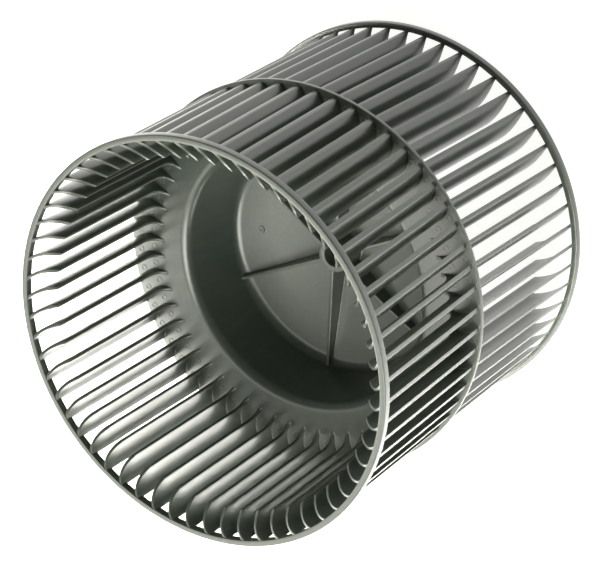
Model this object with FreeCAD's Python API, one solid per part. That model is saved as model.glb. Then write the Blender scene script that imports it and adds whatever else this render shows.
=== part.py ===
import FreeCAD, Part
import math
import os

# Double inlet blower wheel, moulded in one piece.
# Two rings of forward curved blades stand back to back on one disc, each
# closed by an end ring. The middle of the disc is drawn down into a dish that
# carries the hub, so that a motor can sit inside the upper half of the wheel.
# Frame: the axis is +Z, the wheel stands on its lower end ring at z = 0, and
# the open mouth of the dish looks up. All lengths are in millimetres, angles
# in degrees. The wheel turns anticlockwise, seen from above.

# Overall form
wheel_diameter = 150.0
wheel_length = 138.0
blade_count = 59            # in each of the two rings of blades

# End rings
ring_width = 2.2            # radial
ring_depth = 3.0            # along the axis

# Disc that carries both rings of blades
disc_from_top = 65.8        # upper end face to the middle of the disc
disc_thickness = 1.65
disc_inset = 0.7            # rim of the disc inside the wheel's outer diameter

# Blades
blade_inner_thickness = 1.25
blade_outer_thickness = 1.0
blade_flat_count = 3        # flats that follow the blade's arc
blade_ring_bite = 0.4       # how far the outer edges reach into the end rings
blade_disc_bite = 0.5       # how far the feet reach into the disc
blade_span = 8.9            # radial width of the ring of blades
blade_sweep = 3.02          # outer edge ahead of the inner edge
blade_camber = 1.47         # height of the blade's arc over its chord
blade_set_back = 0.25       # outer corner of a blade behind its end ring's face
end_slope = 7.3             # the free end falls by this much to the inner edge
end_slope_lift = 1.0        # swell of that slope, at its middle
foot_height = 6.0           # the inner edge widens from here to the disc
foot_reach = 4.8            # and is this much wider where it meets the disc
lean_upper = 1.25           # upper blades: end ring turned back from the disc
lean_lower = 2.0            # lower blades: the same, so they form a shallow V
first_blade_angle = -3.27   # on the disc, from +X

# Dish and hub
dish_floor_radius = 46.0
dish_draft = 8.0            # slope of the dish wall
dish_wall = 2.0
dish_mouth_round = 4.0
dish_floor_round = 4.0      # where the dish wall meets the floor
round_flat_count = 2        # flats that follow each of these two roundings
hub_face_from_top = 87.4    # upper end face to the hub's upper face
rim_step = 4.1              # dish floor below the hub face, at the dish wall
hub_step = 8.7              # dish floor below the hub face, at the hub
hub_radius = 6.4
hub_length = 24.0
bore_radius = 4.0
bore_chamfer = 0.4
rib_count = 6
rib_thickness = 1.2
rib_fall = 1.6              # rib top below the hub face, at the dish wall
first_rib_angle = 15.0

# Derived radii and heights
outer_radius = wheel_diameter / 2
ring_inner_radius = outer_radius - ring_width
blade_outer_radius = ring_inner_radius + blade_ring_bite
blade_inner_radius = blade_outer_radius - blade_span
disc_radius = outer_radius - disc_inset
disc_middle = wheel_length - disc_from_top
disc_top = disc_middle + disc_thickness / 2
disc_bottom = disc_middle - disc_thickness / 2
hub_top = wheel_length - hub_face_from_top
hub_bottom = hub_top - hub_length
floor_at_wall = hub_top - rim_step
floor_at_hub = hub_top - hub_step
floor_slope = (floor_at_wall - floor_at_hub) / (dish_floor_radius - hub_radius)
wall_slope = math.tan(math.radians(dish_draft))

axis_foot = FreeCAD.Vector(0, 0, 0)
axis = FreeCAD.Vector(0, 0, 1)


def polar(radius, degrees, z=0.0):
    """Point at a radius and an angle about the axis."""
    turn = math.radians(degrees)
    return FreeCAD.Vector(radius * math.cos(turn), radius * math.sin(turn), z)


def in_section(radius, z):
    """Point of a radial section, drawn in the XZ plane."""
    return FreeCAD.Vector(radius, 0, z)


def flat_face(points):
    """Plane face inside a closed outline."""
    return Part.Face(Part.makePolygon(points + [points[0]]))


def revolved(points):
    """Solid of revolution about the axis of a radial section."""
    return flat_face(points).revolve(axis_foot, axis, 360)


def around(shape, count, first):
    """Copies of the shape, evenly spaced about the axis."""
    copies = []
    for i in range(count):
        copy = shape.copy()
        copy.rotate(axis_foot, axis, first + i * 360.0 / count)
        copies.append(copy)
    return copies


def rounded(before, corner, after, radius, flats):
    """Points that replace the corner of a section by flats along a radius."""
    to_before = FreeCAD.Vector(before - corner).normalize()
    to_after = FreeCAD.Vector(after - corner).normalize()
    half_angle = to_before.getAngle(to_after) / 2
    tangent = radius / math.tan(half_angle)
    middle_ray = FreeCAD.Vector(to_before + to_after).normalize()
    centre = corner + middle_ray * (radius / math.sin(half_angle))
    first = corner + to_before * tangent - centre
    last = corner + to_after * tangent - centre
    sweep = first.getAngle(last)
    points = []
    for i in range(flats + 1):
        share = i / flats
        ray = first * math.sin((1 - share) * sweep) + last * math.sin(share * sweep)
        points.append(centre + ray * (1 / math.sin(sweep)))
    return points


def end_ring(face_height, inwards):
    """Ring that ties the free ends of the blades together."""
    back_height = face_height + inwards * ring_depth
    return revolved([
        in_section(ring_inner_radius, face_height),
        in_section(outer_radius, face_height),
        in_section(outer_radius, back_height),
        in_section(ring_inner_radius, back_height),
    ])


def disc_dish_and_hub():
    """Blade disc, dish and hub in one radial section of even wall thickness."""
    mouth_radius = dish_floor_radius + (disc_top - floor_at_wall) * wall_slope
    wall_across = dish_wall / math.cos(math.radians(dish_draft))
    back_at_wall = floor_at_wall - dish_wall
    back_at_hub = floor_at_hub - dish_wall
    back_radius = dish_floor_radius + wall_across - dish_wall * wall_slope
    back_mouth_radius = back_radius + (disc_bottom - back_at_wall) * wall_slope
    floor_corner = in_section(dish_floor_radius, floor_at_wall)
    mouth_corner = in_section(mouth_radius, disc_top)
    disc_edge = in_section(disc_radius, disc_top)
    mouth = rounded(floor_corner, mouth_corner, disc_edge, dish_mouth_round, round_flat_count)
    floor_middle = in_section(hub_radius, floor_at_hub)
    floor_round = rounded(floor_middle, floor_corner, mouth_corner, dish_floor_round, round_flat_count)
    return revolved([
        in_section(0, hub_top),
        in_section(hub_radius, hub_top),
        floor_middle,
        *floor_round,
        *mouth,
        disc_edge,
        in_section(disc_radius, disc_bottom),
        in_section(back_mouth_radius, disc_bottom),
        in_section(back_radius, back_at_wall),
        in_section(hub_radius, back_at_hub),
        in_section(hub_radius, hub_bottom),
        in_section(0, hub_bottom),
    ])


def rib():
    """Upright web on the dish floor, from the hub to the dish wall."""
    sunk = dish_wall / 2
    start = (hub_radius + bore_radius) / 2
    start_floor = floor_at_hub + (start - hub_radius) * floor_slope
    end_at_top = dish_floor_radius + (rim_step - rib_fall) * wall_slope + sunk
    end_at_floor = dish_floor_radius + sunk
    side = flat_face([
        in_section(start, hub_top),
        in_section(end_at_top, hub_top - rib_fall),
        in_section(end_at_floor, floor_at_wall),
        in_section(dish_floor_radius, floor_at_wall - sunk),
        in_section(start, start_floor - sunk),
    ])
    side.translate(FreeCAD.Vector(0, -rib_thickness / 2, 0))
    return side.extrude(FreeCAD.Vector(0, rib_thickness, 0))


def blade_sides():
    """Concave and convex side of the blade section, from its inner edge outwards."""
    outer = polar(blade_outer_radius, 0)
    inner = polar(blade_inner_radius, -blade_sweep)
    chord = outer - inner
    half = chord.Length / 2
    arc_radius = (half ** 2 + blade_camber ** 2) / (2 * blade_camber)
    along = FreeCAD.Vector(chord).normalize()
    across = FreeCAD.Vector(-along.y, along.x, 0)
    centre = (inner + outer) * 0.5 + across * (arc_radius - blade_camber)
    half_turn = math.asin(half / arc_radius)
    concave = []
    convex = []
    for i in range(blade_flat_count + 1):
        share = i / blade_flat_count
        turn = half_turn * (2 * share - 1)
        ray = along * math.sin(turn) - across * math.cos(turn)
        loss = (blade_inner_thickness - blade_outer_thickness) * share
        half_thickness = (blade_inner_thickness - loss) / 2
        concave.append(centre + ray * (arc_radius - half_thickness))
        convex.append(centre + ray * (arc_radius + half_thickness))
    return concave, convex


def past_blade_end(end_face, rise):
    """Everything beyond the sloping free end of a blade, to be cut away."""
    clear = 3.0
    outer = in_section(blade_outer_radius, end_face - rise * blade_set_back)
    inner = outer - FreeCAD.Vector(blade_span, 0, rise * end_slope)
    middle = (outer + inner) * 0.5 + FreeCAD.Vector(0, 0, rise * end_slope_lift)
    fall = FreeCAD.Vector(inner - middle).normalize() * clear
    side = flat_face([
        inner + fall,
        middle,
        outer,
        in_section(outer.x + clear, outer.z),
        in_section(outer.x + clear, end_face + rise * clear),
        in_section(inner.x + fall.x, end_face + rise * clear),
    ])
    side.translate(FreeCAD.Vector(0, -blade_span, 0))
    return side.extrude(FreeCAD.Vector(0, 2 * blade_span, 0))


def blade_foot(start, disc_face, rise):
    """Web that widens the inner edge of a blade towards the disc."""
    concave, convex = blade_sides()
    corner = convex[0]
    across = concave[0] - corner
    inwards = FreeCAD.Vector(-across.y, across.x, 0).normalize()
    toe_reach = foot_reach * (foot_height + blade_disc_bite) / foot_height
    side = flat_face([
        corner + FreeCAD.Vector(0, 0, disc_face + rise * foot_height),
        corner + inwards * toe_reach + FreeCAD.Vector(0, 0, start),
        corner + FreeCAD.Vector(0, 0, start),
    ])
    return side.extrude(across)


def blade(end_face, disc_face, lean):
    """One blade from the disc to an end ring, leaning back on its way there."""
    rise = 1 if end_face > disc_face else -1
    start = disc_face - rise * blade_disc_bite
    reach = end_face - start
    concave, convex = blade_sides()
    section = flat_face(concave + convex[::-1])
    section.translate(FreeCAD.Vector(0, 0, start))
    whole = section.extrude(FreeCAD.Vector(0, 0, reach))
    whole = whole.cut(past_blade_end(end_face, rise))
    whole = whole.fuse(blade_foot(start, disc_face, rise))
    middle_radius = (blade_outer_radius + blade_inner_radius) / 2
    drift = middle_radius * math.sin(math.radians(lean))
    tilt = math.degrees(math.atan(drift / reach))
    pivot = FreeCAD.Vector(0, 0, disc_middle)
    whole.rotate(pivot, FreeCAD.Vector(1, 0, 0), tilt)
    return whole


def hub_bore():
    """Shaft hole through the hub, with a lead-in at both ends."""
    clear = 1.0
    wide = bore_radius + bore_chamfer + clear
    return revolved([
        in_section(0, hub_bottom - clear),
        in_section(wide, hub_bottom - clear),
        in_section(bore_radius, hub_bottom + bore_chamfer),
        in_section(bore_radius, hub_top - bore_chamfer),
        in_section(wide, hub_top + clear),
        in_section(0, hub_top + clear),
    ])


def blower_wheel():
    """The whole moulding."""
    upper_blade = blade(wheel_length, disc_top, lean_upper)
    lower_blade = blade(0.0, disc_bottom, lean_lower)
    pieces = [end_ring(wheel_length, -1), end_ring(0.0, 1)]
    pieces += around(rib(), rib_count, first_rib_angle)
    pieces += around(upper_blade, blade_count, first_blade_angle)
    pieces += around(lower_blade, blade_count, first_blade_angle)
    return disc_dish_and_hub().multiFuse(pieces).cut(hub_bore())


os.makedirs("parts", exist_ok=True)
wheel = blower_wheel()
print("solids", len(wheel.Solids), "volume in cubic mm", round(wheel.Volume))
if len(wheel.Solids) == 1:
    wheel = wheel.Solids[0]
wheel.exportStep("parts/blower_wheel.step")
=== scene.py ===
import math

import bmesh
import bpy
import numpy as np
from mathutils import Matrix, Vector


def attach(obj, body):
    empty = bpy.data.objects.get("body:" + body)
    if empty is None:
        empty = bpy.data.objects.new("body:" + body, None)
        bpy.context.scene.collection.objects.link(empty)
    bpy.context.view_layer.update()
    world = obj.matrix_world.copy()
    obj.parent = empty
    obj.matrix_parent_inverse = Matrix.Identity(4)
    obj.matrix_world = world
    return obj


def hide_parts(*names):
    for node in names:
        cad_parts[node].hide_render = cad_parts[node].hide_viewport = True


# %% [markdown]
# # A blower wheel, moulded in one piece
# Two rings of forward-curved blades stand back to back on one disc. An end
# ring ties the free ends of each ring of blades together, and the middle of
# the disc is drawn down into a dish that carries the hub. The construction
# model gives the size and the place of everything. This scene builds the same
# wheel once more with what a coarse solid can't hold: true arcs, rounded edges,
# fillets where two walls meet, and the small marks of the mould.

# %% Load the construction model
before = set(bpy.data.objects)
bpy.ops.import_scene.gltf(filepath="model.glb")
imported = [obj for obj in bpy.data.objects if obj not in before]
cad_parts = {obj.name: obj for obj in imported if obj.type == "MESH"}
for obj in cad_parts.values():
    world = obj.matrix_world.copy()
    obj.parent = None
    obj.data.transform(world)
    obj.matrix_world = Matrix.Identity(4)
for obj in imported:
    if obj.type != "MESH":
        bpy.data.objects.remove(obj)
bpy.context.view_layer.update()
MM = 0.001

# %% [markdown]
# ## Sizes
# Everything is written in millimetres and turned into metres at the end. A
# wheel is easiest to think of in its own terms: a radius, a height and an
# angle. The names below are the wheel's own measures, and all cells share
# them. The disc lies a little above half height.

# %% Sizes of the wheel
WHEEL_RADIUS = 75.0
WHEEL_LENGTH = 138.0
BLADES = 59
FIRST_BLADE = -3.27
AROUND = BLADES * 4
DISC_RADIUS = 74.3
DISC_MIDDLE = 72.2
DISC_THICK = 1.65
DISC_TOP = DISC_MIDDLE + DISC_THICK / 2
DISC_BOTTOM = DISC_MIDDLE - DISC_THICK / 2


def blade_angle(number):
    """Where a blade's outer edge stands round the axis, in radians."""
    return math.radians(FIRST_BLADE + 360.0 * number / BLADES)


print("wheel", 2 * WHEEL_RADIUS, "x", WHEEL_LENGTH, "mm,", 2 * BLADES, "blades")

# %% [markdown]
# ## Collecting surfaces
# One moulding is one mesh. Each part of the shape is made as a list of points
# and faces, and a small collector keeps them until the end. That is quicker
# than making an object for each blade and joining a hundred of them. Nearly
# every part here is a grid of points, bent into some shape, so one function
# makes the faces of all of them.

# %% The collector
class Moulding:
    def __init__(self):
        self.points = []
        self.faces = []
        self.count = 0

    def add(self, points, faces):
        self.points.append(np.asarray(points, float))
        self.faces += [tuple(i + self.count for i in face) for face in faces]
        self.count += len(points)


def grid_faces(rows, columns, loop_rows=False, loop_columns=True):
    """Quads of a grid whose rows, columns or both close on themselves."""
    faces = []
    for i in range(rows if loop_rows else rows - 1):
        for j in range(columns if loop_columns else columns - 1):
            here, above = i * columns, (i + 1) % rows * columns
            beside = (j + 1) % columns
            faces.append((here + j, here + beside, above + beside, above + j))
    return faces


def turned_by(points, angle):
    """The same points, turned about the wheel's axis."""
    c, s = math.cos(angle), math.sin(angle)
    return np.column_stack([points[:, 0] * c - points[:, 1] * s,
                            points[:, 0] * s + points[:, 1] * c, points[:, 2]])


moulding = Moulding()
print("a ring of 4 by 6 points has", len(grid_faces(6, 4, loop_rows=True)), "faces")

# %% [markdown]
# ## Rounded outlines
# The end rings, the disc, the dish and the hub are all round about the same
# axis, so each is one outline in a radial section, swept round. The outline is
# given rounded corners before it is swept: a sharp corner never catches a line
# of light, and a moulded part has none. A Bevel modifier could round the mesh
# afterwards, but then a corner couldn't have a radius of its own.

# %% Rounding an outline
def rounded_corner(here, before, after, rounding, steps):
    """Points of an arc that touches both sides of a corner."""
    before = (before - here) / np.linalg.norm(before - here)
    after = (after - here) / np.linalg.norm(after - here)
    half = math.acos(np.clip(before @ after, -1, 1)) / 2
    middle = (before + after) / np.linalg.norm(before + after)
    centre = here + middle * rounding / math.sin(half)
    first = here + before * rounding / math.tan(half) - centre
    last = here + after * rounding / math.tan(half) - centre
    turn = math.atan2(first[0] * last[1] - first[1] * last[0], first @ last)
    arc = []
    for k in range(steps + 1):
        c, s = math.cos(turn * k / steps), math.sin(turn * k / steps)
        arc.append(centre + (first[0] * c - first[1] * s, first[0] * s + first[1] * c))
    return arc


def rounded_outline(corners):
    """Closed outline through corners of (radius, height, rounding, steps)."""
    places = [np.array(corner[:2]) for corner in corners]
    outline = []
    for i, (_, _, rounding, steps) in enumerate(corners):
        outline += rounded_corner(places[i], places[i - 1], places[(i + 1) % len(places)],
                                  rounding, steps)
    return np.array(outline)


square = [(0.0, 0.0, 0.2, 3), (1.0, 0.0, 0.2, 3), (1.0, 1.0, 0.2, 3), (0.0, 1.0, 0.2, 3)]
print("a square with round corners has", len(rounded_outline(square)), "points")

# %% [markdown]
# ## End rings
# Each ring is a plain hoop, a little deeper than it is wide. Its outer edges
# are worn round, and its inner edges are crisper because the blades run into
# them there. The hoop is the outline swept round in even steps, four to each
# blade. A Screw modifier would do the same.

# %% The two end rings
RING_WIDTH = 2.2
RING_DEPTH = 3.0
RING_BORE = WHEEL_RADIUS - RING_WIDTH


def turned(corners):
    """Sweep a closed outline round the axis."""
    outline = rounded_outline(corners)
    angles = np.arange(AROUND) * 2 * math.pi / AROUND
    r, z = outline[:, 0], outline[:, 1]
    points = np.stack([np.outer(np.cos(angles), r), np.outer(np.sin(angles), r),
                       np.tile(z, (AROUND, 1))], axis=2).reshape(-1, 3)
    moulding.add(points, grid_faces(AROUND, len(outline), loop_rows=True))


for face, inwards in ((WHEEL_LENGTH, -1), (0.0, 1)):
    back = face + inwards * RING_DEPTH
    turned([
        (RING_BORE, face, 0.18, 2),
        (WHEEL_RADIUS, face, 0.5, 4),
        (WHEEL_RADIUS, back, 0.35, 3),
        (RING_BORE, back, 0.25, 2),
    ])
print("end rings:", moulding.count, "points")

# %% [markdown]
# ## Disc, dish and hub
# This is one skin of nearly even thickness. It starts at the rim of the disc,
# rolls over the mouth of the dish, runs down the wall to the floor, and rises
# again round the hub. The floor is a shallow cone that is deepest at the hub,
# and the wall leans by eight degrees, so that the mould could be drawn off.
# The section is one list of corners: radius, height, rounding and steps.

# %% The turned middle
HUB_TOP = 50.6
HUB_BOTTOM = 26.6
HUB_RADIUS = 6.4
HUB_BASE = HUB_RADIUS + 0.1
BORE_RADIUS = 4.0
FLOOR_RADIUS = 46.0
FLOOR_AT_WALL = 46.5
FLOOR_AT_HUB = 41.9
WALL_ANGLE = math.radians(8.0)
SKIN = 2.0

wall_slope = math.tan(WALL_ANGLE)
mouth_radius = FLOOR_RADIUS + (DISC_TOP - FLOOR_AT_WALL) * wall_slope
back_radius = FLOOR_RADIUS + SKIN / math.cos(WALL_ANGLE) - SKIN * wall_slope
back_mouth = back_radius + (DISC_BOTTOM - (FLOOR_AT_WALL - SKIN)) * wall_slope
turned([
    (BORE_RADIUS, HUB_BOTTOM, 0.4, 2),
    (BORE_RADIUS, HUB_TOP, 0.4, 3),
    (HUB_RADIUS, HUB_TOP, 0.45, 3),
    (HUB_BASE, FLOOR_AT_HUB, 0.8, 4),
    (FLOOR_RADIUS, FLOOR_AT_WALL, 4.0, 8),
    (mouth_radius, DISC_TOP, 4.0, 9),
    (DISC_RADIUS, DISC_TOP, 0.3, 3),
    (DISC_RADIUS, DISC_BOTTOM, 0.3, 3),
    (back_mouth, DISC_BOTTOM, 2.0, 5),
    (back_radius, FLOOR_AT_WALL - SKIN, 3.0, 6),
    (HUB_BASE, FLOOR_AT_HUB - SKIN, 0.8, 3),
    (HUB_RADIUS, HUB_BOTTOM, 0.5, 3),
])
print("mouth of the dish:", round(2 * mouth_radius, 1), "mm across")

# %% [markdown]
# ## Ribs on the dish floor
# Six thin webs run from the hub to the dish wall. They start level with the
# hub's face and fall a little on the way out. Each has a rounded top and widens
# softly where it meets the floor, as the tool that cut the mould left it. A rib
# is a row of such sections, so it is a small loft. Here is one section.

# %% The section of a rib
RIB_HALF = 0.6
RIB_DRAFT = 0.015
RIB_ROOT = 0.3
RIB_ROOT_STEPS = 4
RIB_EDGE = 0.3
RIB_EDGE_STEPS = 3
RIB_SINK = 0.6


def rib_section(base, top):
    """Places across and heights, from the left root over the top to the right."""
    root_half = RIB_HALF + (top - base) * RIB_DRAFT
    left = []
    for k in range(RIB_ROOT_STEPS + 1):
        a = math.pi / 2 * k / RIB_ROOT_STEPS
        left.append((-root_half - RIB_ROOT * (1 - math.sin(a)),
                     base + RIB_ROOT * (1 - math.cos(a))))
    for k in range(RIB_EDGE_STEPS + 1):
        a = math.pi / 2 * k / RIB_EDGE_STEPS
        left.append((-RIB_HALF + RIB_EDGE * (1 - math.cos(a)),
                     top - RIB_EDGE * (1 - math.sin(a))))
    right = [(-y, z) for y, z in left[::-1]]
    below = base - RIB_SINK
    return [(left[0][0], below)] + left + right + [(right[-1][0], below)]


print("a rib's section has", len(rib_section(FLOOR_AT_HUB, HUB_TOP)), "points")

# %% [markdown]
# The sections are set up along one radius and follow the floor as it rises.
# Both ends of the rib are sunk, one into the hub and the other into the dish
# wall, so no gap opens there. Then the rib is turned to its six places.

# %% The six ribs
RIBS = 6
FIRST_RIB = 15
RIB_FALL = 1.6
RIB_STATIONS = 25
RIB_IN_HUB = 1.2
RIB_IN_WALL = 0.6
FLOOR_RUN = FLOOR_RADIUS - HUB_RADIUS


def floor_height(radius):
    """Height of the dish floor at a radius."""
    return FLOOR_AT_HUB + (radius - HUB_RADIUS) * (FLOOR_AT_WALL - FLOOR_AT_HUB) / FLOOR_RUN


rib_rows = []
for r in np.linspace(HUB_RADIUS - RIB_IN_HUB, FLOOR_RADIUS + RIB_IN_WALL, RIB_STATIONS):
    base = min(floor_height(r), FLOOR_AT_WALL)
    top = HUB_TOP - RIB_FALL * max(0.0, r - HUB_RADIUS) / FLOOR_RUN
    rib_rows += [(r, y, z) for y, z in rib_section(base, top)]
rib_points = np.array(rib_rows)
columns = len(rib_points) // RIB_STATIONS
rib_faces = grid_faces(RIB_STATIONS, columns)
rib_faces.append(tuple(range(columns))[::-1])
rib_faces.append(tuple(range(len(rib_points) - columns, len(rib_points))))
for k in range(RIBS):
    angle = math.radians(FIRST_RIB + 360 / RIBS * k)
    moulding.add(turned_by(rib_points, angle), rib_faces)
print("with the ribs:", moulding.count, "points")

# %% [markdown]
# ## Blades
# A blade is a curved strip. Seen along the axis it follows an arc whose outer
# end runs ahead of its inner end. Its free end falls away towards the inside
# of the wheel, and its foot spreads out over the disc. All of that is one
# closed section, drawn again at each height: the section slides along the
# arc, grows at the foot, and shrinks to a rounded edge at the free end. First
# comes the arc, found from its two ends and the height of its bow.

# %% The arc that a blade follows
BLADE_WIDTH = 8.9
BLADE_OUTER = RING_BORE + 0.4
BLADE_INNER = BLADE_OUTER - BLADE_WIDTH
SWEEP = math.radians(3.02)
CAMBER = 1.47

outer_point = np.array((BLADE_OUTER, 0.0))
inner_point = BLADE_INNER * np.array((math.cos(SWEEP), -math.sin(SWEEP)))
half_chord = np.linalg.norm(outer_point - inner_point) / 2
along = (outer_point - inner_point) / (2 * half_chord)
aside = np.array((-along[1], along[0]))
ARC_RADIUS = (half_chord ** 2 + CAMBER ** 2) / (2 * CAMBER)
arc_centre = (outer_point + inner_point) / 2 + aside * (ARC_RADIUS - CAMBER)
HALF_TURN = math.asin(half_chord / ARC_RADIUS)
ARC_LENGTH = 2 * HALF_TURN * ARC_RADIUS


def on_arc(length):
    """Place, direction and side of the blade's middle line, from its outer end."""
    turn = HALF_TURN - min(length, ARC_LENGTH) / ARC_RADIUS
    ray = along * math.sin(turn) - aside * math.cos(turn)
    heading = -(along * math.cos(turn) + aside * math.sin(turn))
    place = arc_centre + ray * ARC_RADIUS + heading * max(0.0, length - ARC_LENGTH)
    return place, heading, ray


print("blade arc: radius", round(ARC_RADIUS, 2), "mm, length", round(ARC_LENGTH, 2), "mm")

# %% [markdown]
# The strip is thicker at its inner edge than at its outer edge. Its foot
# spreads inwards along an arc that starts upright, and a small fillet joins
# every side of it to the disc. Both are numbers that depend on the height over
# the disc alone, and are nothing at all above the foot.

# %% Thickness and foot
THICK_OUTER = 1.0
THICK_INNER = 1.25
FOOT_HEIGHT = 6.0
FOOT_REACH = 4.8
FOOT_ARC = (FOOT_REACH ** 2 + FOOT_HEIGHT ** 2) / (2 * FOOT_REACH)
FILLET = 0.35


def half_thickness(length):
    """Half the strip's thickness at a length along its arc."""
    share = min(max(length / ARC_LENGTH, 0.0), 1.0)
    return (THICK_OUTER + (THICK_INNER - THICK_OUTER) * share) / 2


def foot_growth(height):
    """How far the foot reaches inwards, and how far its fillet stands out."""
    reach, swell = 0.0, 0.0
    if height < FOOT_HEIGHT:
        up = FOOT_HEIGHT - max(height, 0.0)
        reach = FOOT_ARC - math.sqrt(FOOT_ARC ** 2 - up ** 2)
    if height < FILLET:
        up = FILLET - max(height, 0.0)
        swell = FILLET - math.sqrt(max(FILLET ** 2 - up ** 2, 0.0))
    return reach, swell


for height in (0.0, 2.0, FOOT_HEIGHT):
    print("foot at", height, "mm: reach and fillet", [round(v, 2) for v in foot_growth(height)])

# %% [markdown]
# The closed section goes along the hollow side from the outer edge to the
# inner one, round the inner edge in a few steps, back along the bowed side,
# and across the outer edge, which lies on a cylinder and has two small
# bevelled corners. Each point remembers its length along the arc, because the
# free end falls away by that length.

# %% The closed section of a blade
STATIONS = 8
EDGE_STEPS = 3
EDGE_ROUND = 0.9
CORNER_POINTS = 4
CORNER = 0.16
CORNER_CUT = CORNER * 0.3


def section_at(height, shrink, thickness):
    """Points of the section at a height over the disc, with their arc lengths."""
    reach, swell = foot_growth(height)
    start = -swell * 0.5
    total = ARC_LENGTH + reach + swell

    def half(length):
        return thickness * half_thickness(length) + swell - shrink

    def side_point(length, side):
        place, heading, ray = on_arc(length)
        return place + ray * side * half(length), heading

    def outer_corner(side):
        """Where a side of the blade reaches the cylinder of the outer edges."""
        point, heading = side_point(start, side)
        b = point @ heading
        slide = b + math.sqrt(b * b - point @ point + (BLADE_OUTER - start) ** 2)
        return point - heading * slide, heading, slide

    stations = start + (total - start) * np.linspace(0, 1, STATIONS)
    edge = half(total)
    stations[-1] = total - edge * EDGE_ROUND
    points, lengths = [], []
    for side in (-1, 1):
        for length in stations if side < 0 else stations[::-1]:
            if length == stations[0]:
                corner, heading, slide = outer_corner(side)
                points.append(corner + heading * CORNER)
                lengths.append(length - slide + CORNER)
            else:
                points.append(side_point(length, side)[0])
                lengths.append(length)
        if side < 0:
            place, heading, ray = on_arc(stations[-1])
            for k in range(1, EDGE_STEPS + 1):
                a = math.pi * k / (EDGE_STEPS + 1)
                ahead = edge * EDGE_ROUND * math.sin(a)
                points.append(place - ray * edge * math.cos(a) + heading * ahead)
                lengths.append(stations[-1] + ahead)
    near, near_heading, _ = outer_corner(1)
    far, far_heading, _ = outer_corner(-1)
    across = (far - near) / np.linalg.norm(far - near)
    points += [near + (near_heading + across) * CORNER_CUT, near + across * CORNER,
               far - across * CORNER, far + (far_heading - across) * CORNER_CUT]
    lengths += [start] * CORNER_POINTS
    return np.array(points), np.array(lengths)


print("a blade's section has", len(section_at(FOOT_HEIGHT, 0.0, 1.0)[0]), "points")

# %% [markdown]
# ## From the foot to the free end
# At the open mouth the free end falls away by 7.3 mm, in a curve that steepens
# inwards. At the far ring it is cut back by twice as much, and soonest close to
# the ring, which leaves thin tips with a row of small windows between them. The
# blades of that half are a quarter thinner too. Both rings of blades lean a
# little about the disc, so the two halves together are a shallow V. The rows
# lie close together where the shape bends, in the fillet, the foot and the
# rounded end, and far apart in the straight middle.

# %% The rows of one blade
MOUTH_END = (7.3, 1.7, 1.0)
FAR_END = (15.0, 0.7, 0.75)
SET_BACK = 0.25
SINK = 0.35
END_ROUND = 0.14
FOOT_ROWS = (-SINK, 0.0, 0.05, 0.12, 0.22, FILLET, 1.1, 2.0, 3.0, 4.2, FOOT_HEIGHT)
FREE_ROWS = (0.08, 0.3, 0.52, 0.74, 0.88)
END_ROWS = ((1.0, 0.0), (0.5, 0.13), (0.13, 0.5), (0.0, 1.0))


def blade_rows(disc_face, end_face, end_slope, end_power, thickness):
    """Sections from the disc to the free end of one upright blade."""
    full = abs(end_face - disc_face)
    rows = []
    for height in FOOT_ROWS:
        outline, _ = section_at(height, 0.0, thickness)
        rows.append(np.column_stack([outline, np.full(len(outline), height)]))

    def end_height(lengths):
        fall = end_slope * np.clip(lengths / ARC_LENGTH, 0, 1.1) ** end_power
        return full - SET_BACK - fall

    outline, lengths = section_at(FOOT_HEIGHT, 0.0, thickness)
    straight = end_height(lengths) - END_ROUND - FOOT_HEIGHT
    for share in FREE_ROWS:
        rows.append(np.column_stack([outline, FOOT_HEIGHT + straight * share]))
    for below, shrink in END_ROWS:
        outline, lengths = section_at(FOOT_HEIGHT, END_ROUND * shrink, thickness)
        rows.append(np.column_stack([outline, end_height(lengths) - END_ROUND * below]))
    points = np.array(rows)
    rise = 1 if end_face > disc_face else -1
    points[:, :, 2] = disc_face + rise * points[:, :, 2]
    return points


mouth_rows = blade_rows(DISC_TOP, WHEEL_LENGTH, *MOUTH_END)
far_rows = blade_rows(DISC_BOTTOM, 0.0, *FAR_END)
print("a blade has", mouth_rows.shape[0], "rows of", mouth_rows.shape[1], "points")

# %% [markdown]
# A blade's lean tilts it about a level line through the disc, so that its free
# end runs ahead of its foot by the given angle round the axis. The two flat
# ends of the strip are closed with quads from side to side. They follow the
# section's bend, where one large face would lie across it.

# %% The leaning, closed blades
MOUTH_LEAN = math.radians(1.25)
FAR_LEAN = math.radians(2.0)


def leaning(rows, reach, lean):
    """The rows of a blade, tilted about the middle of the disc."""
    middle_radius = (BLADE_OUTER + BLADE_INNER) / 2
    tilt = math.atan(middle_radius * math.sin(lean) / reach)
    c, s = math.cos(tilt), math.sin(tilt)
    y, z = rows[:, :, 1], rows[:, :, 2] - DISC_MIDDLE
    return np.stack([rows[:, :, 0], y * c - z * s, y * s + z * c + DISC_MIDDLE], axis=2)


def strip_cap(offset):
    """Faces that close the flat strip between the two sides of a section."""
    first_bowed = STATIONS + EDGE_STEPS
    bowed = [first_bowed + k for k in range(STATIONS)][::-1]
    faces = [(k, k + 1, bowed[k + 1], bowed[k]) for k in range(STATIONS - 1)]
    faces.append(tuple(range(STATIONS - 1, first_bowed)) + (bowed[-1],))
    first_corner = first_bowed + STATIONS
    faces.append((bowed[0],) + tuple(range(first_corner, first_corner + CORNER_POINTS)) + (0,))
    return [tuple(offset + i for i in face) for face in faces]


def ring_of_blades(rows):
    """Close one blade and repeat it round the wheel."""
    count, columns = rows.shape[:2]
    faces = grid_faces(count, columns)
    faces += [face[::-1] for face in strip_cap(0)]
    faces += strip_cap((count - 1) * columns)
    for k in range(BLADES):
        moulding.add(turned_by(rows.reshape(-1, 3), blade_angle(k)), faces)


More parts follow.
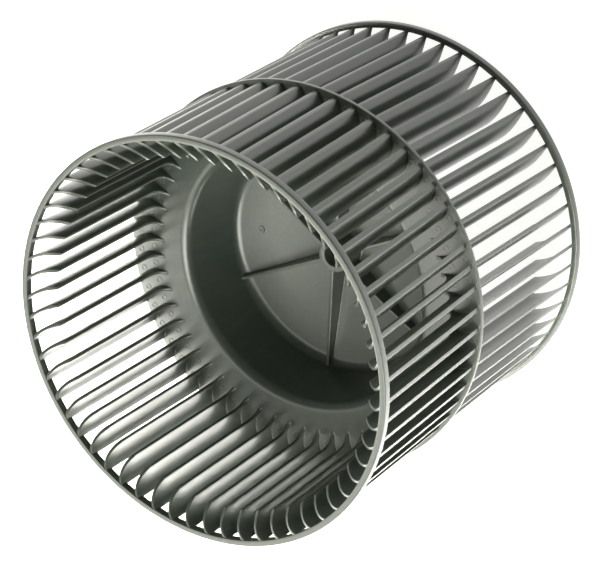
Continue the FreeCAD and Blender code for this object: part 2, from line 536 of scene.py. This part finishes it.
ring_of_blades(leaning(mouth_rows, WHEEL_LENGTH - DISC_TOP, MOUTH_LEAN))
ring_of_blades(leaning(far_rows, 0.0 - DISC_BOTTOM, FAR_LEAN))
print("with the blades:", moulding.count, "points")

# %% [markdown]
# ## Marks of the ejector pins
# The pins that push the wheel out of its mould leave a pair of small round
# marks on the disc between each two blades, and one more on the dish floor.
# They are thin raised circles. A small section swept round in fourteen steps
# is enough for each, because a mark is only two millimetres across.

# %% Ejector marks
MARK_RADIUS = 1.0
MARK_STEPS = 14
MARK_SINK = 0.05
MARK_ON_DISC = 0.25
MARK_ON_FLOOR = 0.5
PIN_RADII = (70.9, 64.9)
FLOOR_PIN_RADIUS, FLOOR_PIN_ANGLE = 35.2, math.radians(48.5)


def raised_circle(pin_radius, pin_angle, height, thickness):
    """A thin raised circle at a place on the wheel."""
    x, y = pin_radius * math.cos(pin_angle), pin_radius * math.sin(pin_angle)
    section = ((-thickness, -MARK_SINK), (-thickness * 0.6, thickness * 0.5),
               (thickness * 0.6, thickness * 0.5), (thickness, -MARK_SINK))
    points = []
    for a in np.arange(MARK_STEPS) * 2 * math.pi / MARK_STEPS:
        for out, up in section:
            reach = MARK_RADIUS + out
            points.append((x + reach * math.cos(a), y + reach * math.sin(a), height + up))
    moulding.add(points, grid_faces(MARK_STEPS, len(section), loop_rows=True))


for k in range(BLADES):
    for r in PIN_RADII:
        between = blade_angle(k + 0.5) - SWEEP * (BLADE_OUTER - r) / BLADE_WIDTH
        raised_circle(r, between, DISC_TOP, MARK_ON_DISC)
raised_circle(FLOOR_PIN_RADIUS, FLOOR_PIN_ANGLE, floor_height(FLOOR_PIN_RADIUS), MARK_ON_FLOOR)
print("with the marks:", moulding.count, "points")

# %% [markdown]
# ## The mesh
# All surfaces go into one mesh, and normals are made to point outwards. Only
# edges that are really sharp stay sharp, so light rolls over the roundings. At
# the same time the sum of the outward bends at each point is kept as an
# attribute. The material uses it to make the ridges pale: partly real wear,
# partly a painted highlight along the edges. The Pointiness
# output of the Geometry node is made for that, but it works in one renderer
# only, and an attribute goes wherever the mesh goes.

# %% Make the wheel's mesh
SHARP = math.radians(38)
FULL_RIDGE = 1.2

mesh = bpy.data.meshes.new("blower_wheel_moulding")
mesh.from_pydata((np.concatenate(moulding.points) * MM).tolist(), [], moulding.faces)
shape = bmesh.new()
shape.from_mesh(mesh)
bmesh.ops.recalc_face_normals(shape, faces=shape.faces)
ridge = [sum(max(0.0, edge.calc_face_angle_signed(0.0)) for edge in point.link_edges)
         for point in shape.verts]
shape.to_mesh(mesh)
shape.free()
mesh.validate()
mesh.shade_smooth()
mesh.set_sharp_from_angle(angle=SHARP)
# The ridge mask for pale edges: partly real wear, partly a painted highlight along the edges.
edge_wear_and_highlight = mesh.attributes.new("edge_wear_and_highlight", "FLOAT", "POINT")
edge_wear_and_highlight.data.foreach_set("value", np.clip(np.array(ridge, np.float32) / FULL_RIDGE, 0, 1))
print("triangles:", sum(len(p.vertices) - 2 for p in mesh.polygons))

# %% [markdown]
# The new wheel takes the place of the plain construction model. It rides on
# the wheel's only body.

# %% Put the wheel in the frame
wheel = bpy.data.objects.new("wheel_moulding", mesh)
bpy.context.scene.collection.objects.link(wheel)
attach(wheel, "root")
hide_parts("blower_wheel")
print("the wheel is", [round(v / MM, 1) for v in wheel.dimensions], "mm")

# %% [markdown]
# ## The plastic
# Dark greenish grey plastic with a satin skin. What is the same everywhere, such
# as the strength of the clear skin, is set on the shader itself. What changes
# from place to place comes from nodes, and a few small helpers keep the node
# tree readable.

# %% The shader and helpers for its nodes
plastic = bpy.data.materials.new("satin_wheel_plastic")
plastic.use_nodes = True
nodes = plastic.node_tree.nodes
links = plastic.node_tree.links
shader = nodes["Principled BSDF"]
for socket, value in (("IOR", 1.5), ("Coat Weight", 1.0), ("Coat IOR", 1.55),
                      ("Coat Roughness", 0.3)):
    shader.inputs[socket].default_value = value


def node(kind, **settings):
    made = nodes.new(kind)
    for key, value in settings.items():
        setattr(made, key, value)
    return made


def mix(factor, first, second):
    """Blend a colour into another by a factor from a node."""
    made = node("ShaderNodeMix", data_type="RGBA")
    for socket, value in ((made.inputs[0], factor), (made.inputs[6], first),
                          (made.inputs[7], second)):
        if isinstance(value, bpy.types.NodeSocket):
            links.new(value, socket)
        else:
            socket.default_value = value
    return made.outputs[2]


def ramp(value, low, high, out_low=0.0, out_high=1.0):
    """Spread a range of a value over another range."""
    made = node("ShaderNodeMapRange")
    links.new(value, made.inputs["Value"])
    for socket, limit in (("From Min", low), ("From Max", high),
                          ("To Min", out_low), ("To Max", out_high)):
        made.inputs[socket].default_value = limit
    return made.outputs["Result"]


def noise(scale, detail, roughness, vector):
    made = node("ShaderNodeTexNoise")
    for socket, value in (("Scale", scale), ("Detail", detail), ("Roughness", roughness)):
        made.inputs[socket].default_value = value
    links.new(vector, made.inputs["Vector"])
    return made.outputs["Fac"]


print("the skin's gloss is set on", shader.name)

# %% [markdown]
# ## Colour
# Moulded plastic isn't one flat colour. The melt leaves soft clouds between a
# greener and a bluer grey, and faint paler streaks along the way it flowed,
# which is along the blades. The edges are paler too: partly wear from handling,
# partly a painted highlight where the ridges would catch the light. Each is a quiet
# layer over the same base colour. The streaks are noise that is squeezed along
# the axis by a Mapping node.

# %% Colour of the plastic
GREEN_GREY = (0.071, 0.088, 0.067, 1)
BLUE_GREY = (0.064, 0.081, 0.077, 1)
STREAK = (0.110, 0.126, 0.098, 1)
# Pale edge colour: partly real wear, partly a painted highlight on the ridges.
WORN_AND_HIGHLIGHT = (0.190, 0.207, 0.168, 1)

place = node("ShaderNodeTexCoord").outputs["Object"]
stretch = node("ShaderNodeMapping")
stretch.inputs["Scale"].default_value = (1.0, 1.0, 0.06)
links.new(place, stretch.inputs["Vector"])
clouds = noise(28.0, 4.0, 0.6, place)
streaks = noise(420.0, 2.0, 0.5, stretch.outputs["Vector"])
wear_and_highlight = node("ShaderNodeAttribute", attribute_name="edge_wear_and_highlight").outputs["Fac"]

colour = mix(ramp(clouds, 0.35, 0.7), GREEN_GREY, BLUE_GREY)
colour = mix(ramp(streaks, 0.45, 0.75, 0.0, 0.35), colour, STREAK)
# Pale ridges: partly real wear, partly a painted highlight.
colour = mix(ramp(wear_and_highlight, 0.35, 1.0, 0.0, 0.45), colour, WORN_AND_HIGHLIGHT)
links.new(colour, shader.inputs["Base Color"])
print("colour comes from", len(nodes), "nodes")

# %% [markdown]
# ## Gloss and grain
# The skin is satin: a little rougher in some clouds than in others, and finely
# grained where the mould's steel was. The grain is far too small for the mesh,
# so it is the one thing that is left to a bump.

# %% Gloss and grain of the plastic
grain = noise(2600.0, 2.0, 0.5, place)
links.new(ramp(clouds, 0.3, 0.7, 0.3, 0.4), shader.inputs["Roughness"])
bump = node("ShaderNodeBump")
bump.inputs["Strength"].default_value = 0.12
bump.inputs["Distance"].default_value = 0.0002
links.new(grain, bump.inputs["Height"])
links.new(bump.outputs["Normal"], shader.inputs["Normal"])
mesh.materials.append(plastic)
print("plastic has", len(nodes), "nodes")

# %% [markdown]
# ## Camera
# The photograph looks into the open mouth from a little way off the axis, with
# the wheel lying over to one side. A long lens keeps the far ring nearly as
# large as the near one. The camera is placed by its own three directions: which
# way is right, which way is up, and which way points back from the wheel.

# %% Camera
CAMERA_PLACE = Vector((-0.00193, -0.5584, 0.7269))
CAMERA_RIGHT = Vector((-0.5474, -0.6356, -0.5444))
CAMERA_BACK = Vector((0.0, -0.6505, 0.7595))

camera_data = bpy.data.cameras.new("camera")
camera_data.sensor_fit = "HORIZONTAL"
camera_data.sensor_width = 36.0
camera_data.lens = 143.9
camera_data.clip_end = 20.0
camera = bpy.data.objects.new("camera", camera_data)
bpy.context.scene.collection.objects.link(camera)
camera_right = CAMERA_RIGHT.normalized()
camera_back = CAMERA_BACK.normalized()
camera_right = (camera_right - camera_back * camera_right.dot(camera_back)).normalized()
camera_up = camera_back.cross(camera_right)
turn = Matrix((camera_right, camera_up, camera_back)).transposed()
camera.matrix_world = Matrix.Translation(CAMERA_PLACE) @ turn.to_4x4()
bpy.context.scene.camera = camera
print("camera is", round(CAMERA_PLACE.length, 2), "m from the origin")

# %% [markdown]
# ## Floor
# The wheel stands on a pale floor that reads as white paper. To the camera, in
# reflections and through anything clear it glows nearly white by itself, so no
# lamp has to be strong enough to make it white. Underneath the glow it is plain
# grey paper that takes the wheel's soft shadow. The Light Path node tells which
# rays are asking.

# %% Floor
FLOOR_HALF = 6
PAPER_GREY = (0.35, 0.35, 0.35, 1)
PAPER_GLOW = (1.0, 1.0, 0.97, 1)
GLOW_STRENGTH = 0.95

corners = [(-FLOOR_HALF, -FLOOR_HALF, 0), (FLOOR_HALF, -FLOOR_HALF, 0),
           (FLOOR_HALF, FLOOR_HALF, 0), (-FLOOR_HALF, FLOOR_HALF, 0)]
floor_mesh = bpy.data.meshes.new("floor")
floor_mesh.from_pydata(corners, [], [(0, 1, 2, 3)])
floor = bpy.data.objects.new("floor", floor_mesh)
bpy.context.scene.collection.objects.link(floor)


def asked_by(tree, *kinds):
    """A socket that is 1 for the given kinds of ray and 0 for the others."""
    rays = tree.nodes.new("ShaderNodeLightPath")
    asked = rays.outputs[kinds[0]]
    for kind in kinds[1:]:
        either = tree.nodes.new("ShaderNodeMath")
        either.operation = "MAXIMUM"
        tree.links.new(asked, either.inputs[0])
        tree.links.new(rays.outputs[kind], either.inputs[1])
        asked = either.outputs[0]
    return asked


paper = bpy.data.materials.new("white_paper")
paper.use_nodes = True
tree = paper.node_tree
tree.nodes.clear()
output = tree.nodes.new("ShaderNodeOutputMaterial")
diffuse = tree.nodes.new("ShaderNodeBsdfDiffuse")
diffuse.inputs["Color"].default_value = PAPER_GREY
glow = tree.nodes.new("ShaderNodeEmission")
glow.inputs["Color"].default_value = PAPER_GLOW
strength = tree.nodes.new("ShaderNodeMath")
strength.operation = "MULTIPLY"
strength.inputs[1].default_value = GLOW_STRENGTH
asked = asked_by(tree, "Is Camera Ray", "Is Glossy Ray", "Is Transmission Ray")
tree.links.new(asked, strength.inputs[0])
tree.links.new(strength.outputs[0], glow.inputs["Strength"])
blend = tree.nodes.new("ShaderNodeAddShader")
tree.links.new(diffuse.outputs[0], blend.inputs[0])
tree.links.new(glow.outputs[0], blend.inputs[1])
tree.links.new(blend.outputs[0], output.inputs["Surface"])
floor_mesh.materials.append(paper)
print("floor is", 2 * FLOOR_HALF, "m across")

# %% [markdown]
# ## Lamps
# Eight large soft lamps stand round the wheel, as the walls of a light tent
# would. Each row gives its direction round the axis and above the floor, its
# size across and its power.

# %% Lamps round the wheel
LAMP_COLOUR = (1.0, 0.99, 0.91)
LAMP_AIM = Vector((0, 0, 0.08))
LAMP_DISTANCE = 1.2


def lamp(name, direction, distance, size, power):
    data = bpy.data.lights.new(name, "AREA")
    data.shape = "DISK"
    data.size = size
    data.energy = power
    data.color = LAMP_COLOUR
    made = bpy.data.objects.new(name, data)
    bpy.context.scene.collection.objects.link(made)
    away = Vector(direction).normalized()
    made.location = LAMP_AIM + away * distance
    made.rotation_euler = away.to_track_quat("Z", "Y").to_euler()
    return made


tent = (
    ("lamp_left", 60, 5, 0.6, 3.0),
    ("lamp_left_back", 17, 7, 0.6, 3.0),
    ("lamp_below_mouth", 172, 5, 0.6, 5.0),
    ("lamp_behind", 85, 20, 0.7, 7.5),
    ("lamp_over_back", 115, 47, 0.8, 5.0),
    ("lamp_over_low", 185, 58, 0.7, 11.0),
    ("lamp_over_left", 60, 60, 0.8, 2.2),
    ("lamp_over_mouth", 120, 80, 0.8, 2.2),
)
for name, azimuth, elevation, size, power in tent:
    level, around = math.radians(elevation), math.radians(azimuth)
    direction = (math.cos(level) * math.cos(around), math.cos(level) * math.sin(around),
                 math.sin(level))
    lamp(name, direction, LAMP_DISTANCE, size, power)
print(len(tent), "lamps round the wheel,", sum(row[-1] for row in tent), "W in all")

# %% [markdown]
# Four more lamps look straight down and light only the paper beside the wheel,
# so that the paper throws light up under the blades. Their beams are narrow
# enough to pass the wheel by. Each row gives the direction, how far out and how
# high the lamp hangs, the angle of its beam and its power.

# %% Lamps over the paper
PAPER_LAMP_SIZE = 0.3

over_paper = (
    ("paper_lamp_low", 162, 0.33, 0.30, 70, 5.0),
    ("paper_lamp_right", 197, 0.33, 0.30, 70, 2.0),
    ("paper_lamp_behind", 115, 0.42, 0.40, 76, 5.0),
    ("paper_lamp_left", 68, 0.42, 0.40, 78, 10.0),
)
for name, azimuth, reach, height, beam, power in over_paper:
    around = math.radians(azimuth)
    paper_lamp = lamp(name, (0, 0, 1), 1.0, PAPER_LAMP_SIZE, power)
    paper_lamp.location = (reach * math.cos(around), reach * math.sin(around), height)
    paper_lamp.data.spread = math.radians(beam)
print(len(over_paper), "lamps over the paper,", sum(row[-1] for row in over_paper), "W in all")

# %% [markdown]
# ## Surrounding
# Past the edge of the floor the camera sees the world. It looks white there and
# gives the wheel next to no light. The view transform is the plain one, so a
# colour comes out about as it is written.

# %% Surrounding
WORLD_LIGHT = 0.01
WORLD_SEEN = 1.0

world = bpy.data.worlds.new("surrounding")
bpy.context.scene.world = world
world.use_nodes = True
sky = world.node_tree
background = sky.nodes["Background"]
background.inputs["Color"].default_value = (1, 1, 1, 1)
level = sky.nodes.new("ShaderNodeMapRange")
level.inputs["To Min"].default_value = WORLD_LIGHT
level.inputs["To Max"].default_value = WORLD_SEEN
sky.links.new(asked_by(sky, "Is Camera Ray", "Is Transmission Ray"), level.inputs["Value"])
sky.links.new(level.outputs["Result"], background.inputs["Strength"])
bpy.context.scene.view_settings.view_transform = "Standard"
print("view transform:", bpy.context.scene.view_settings.view_transform)
